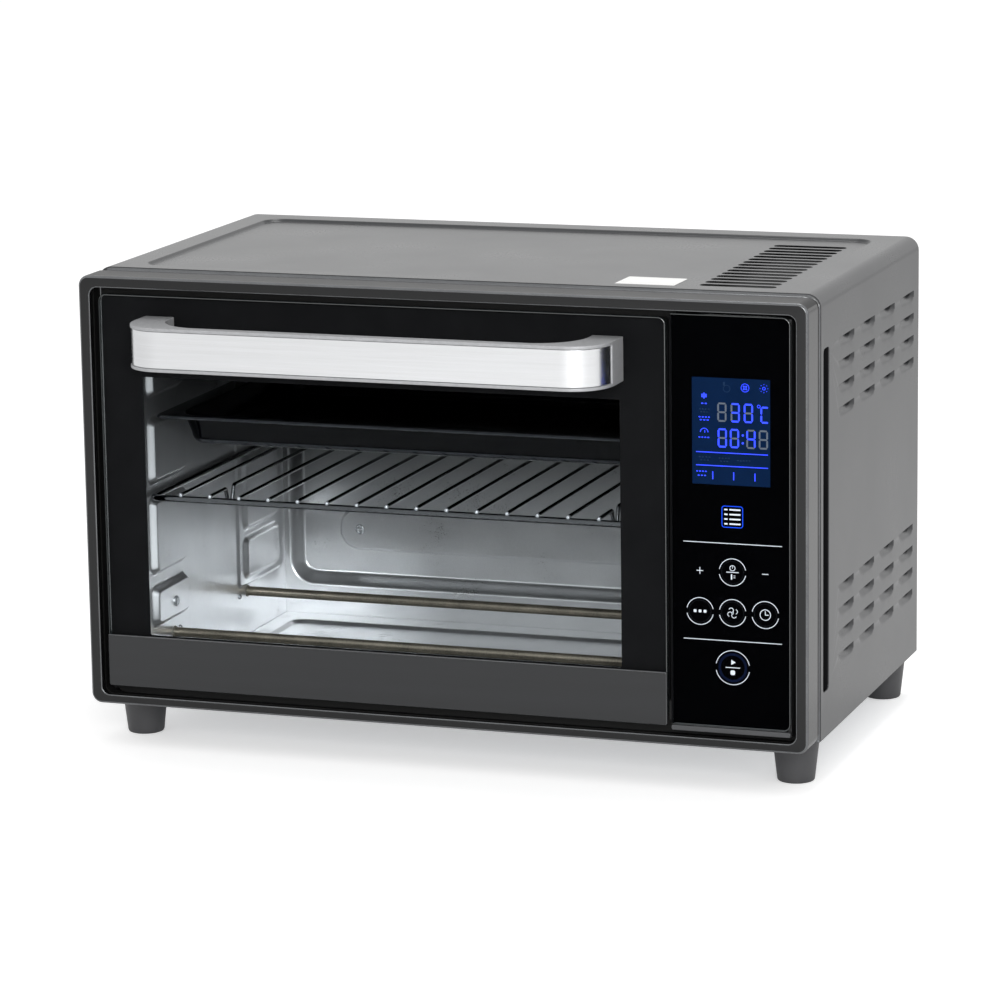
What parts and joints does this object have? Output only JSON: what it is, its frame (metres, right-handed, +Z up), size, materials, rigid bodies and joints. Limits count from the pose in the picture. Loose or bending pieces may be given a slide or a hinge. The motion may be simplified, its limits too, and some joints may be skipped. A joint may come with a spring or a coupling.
{
  "type": "toaster oven",
  "caption": "Countertop electric oven: louvred steel housing, drop-down glass door with bar handle, touch control panel, wire rack, baking tray, rod heaters and side fan.",
  "frame": {"origin": "centre of the whole object's footprint, on the table under the feet", "axes": "+X to the user's right along the front, +Y from the door towards the back, +Z up"},
  "size_m": [0.484, 0.3316, 0.312],
  "materials": {
    "graphite_paint": "satin powder coat",
    "frame_paint": "satin powder coat",
    "black_paint": "matte heat-proof paint",
    "dark_steel": "satin dark grey",
    "aluminised_steel": "satin aluminised sheet",
    "zinc_steel": "zinc plated",
    "chrome": "bright chrome plate",
    "satin_metal": "satin brushed",
    "brushed_strip": "bright brushed",
    "element_sheath": "heat-browned sheath",
    "ceramic": "matte",
    "black_enamel": "gloss vitreous enamel",
    "door_glass": "clear toughened glass with a black printed border",
    "panel_glass": "black gloss back-painted glass",
    "lamp_glass": "clear",
    "display": "dark blue liquid-crystal display",
    "foot_rubber": "matte",
    "black_plastic": "heat-proof matte",
    "circuit_board": "solder resist",
    "panel_strip": "satin grey",
    "blank_label": "matte"
  },
  "bodies": {
    "oven": {"front_frame": "frame_paint", "front_bulkhead": "black_paint", "housing_shell": "graphite_paint", "base_plate": "zinc_steel", "foot_front_left": "foot_rubber", "foot_front_right": "foot_rubber", "foot_rear_left": "foot_rubber", "foot_rear_right": "foot_rubber", "rear_panel": "graphite_paint", "rear_screw_lower_left": "zinc_steel", "rear_screw_upper_left": "zinc_steel", "rear_screw_lower_right": "zinc_steel", "rear_screw_upper_right": "zinc_steel", "cavity_left_wall": "aluminised_steel", "cavity_right_wall": "aluminised_steel", "cavity_back_wall": "aluminised_steel", "cavity_roof": "aluminised_steel", "cavity_floor": "aluminised_steel", "element_lower_front": "element_sheath", "element_lower_rear": "element_sheath", "element_upper_front": "element_sheath", "element_upper_rear": "element_sheath", "fan_housing": "zinc_steel", "fan_motor": "dark_steel", "lamp_cover": "lamp_glass", "lamp_holder": "ceramic", "lamp_bulb": "lamp_glass", "temperature_probe": "chrome", "hinge_left": "zinc_steel", "hinge_right": "zinc_steel", "panel_glass": "panel_glass", "panel_strip": "panel_strip", "panel_carrier": "black_plastic", "display_module": "display", "touch_board": "circuit_board", "power_board": "circuit_board", "board_bracket": "zinc_steel", "terminal_block": "black_plastic", "thermal_cutout": "black_plastic", "cord_gland": "black_plastic", "top_label": "blank_label"},
    "door": {"door_frame": "black_plastic", "door_glass": "door_glass", "door_rail": "dark_steel", "handle_body": "satin_metal", "handle_strip": "brushed_strip", "handle_screw_left": "zinc_steel", "handle_screw_right": "zinc_steel"},
    "rack": {"wire_rack": "chrome"},
    "tray": {"baking_tray": "black_enamel"},
    "fan": {"fan_blade": "satin_metal"}
  },
  "joints": [
    {"name": "door_hinge", "type": "hinge", "parent": "oven", "child": "door", "pos_m": [0, -0.11135, 0.048], "axis": [1, 0, 0], "range_deg": [0, 85]},
    {"name": "rack_slide", "type": "slide", "parent": "oven", "child": "rack", "axis": [0, -1, 0], "range_m": [0, 0.156]},
    {"name": "tray_slide", "type": "slide", "parent": "oven", "child": "tray", "axis": [0, -1, 0], "range_m": [0, 0.112]},
    {"name": "fan_spin", "type": "hinge", "parent": "oven", "child": "fan", "pos_m": [0.1543, 0.01675, 0.164], "axis": [1, 0, 0], "continuous": true}
  ],
  "couplings": [
    {"joint": "rack_slide", "follows": "door_hinge", "m_per_rad": 0.105},
    {"joint": "tray_slide", "follows": "door_hinge", "m_per_rad": 0.075}
  ]
}
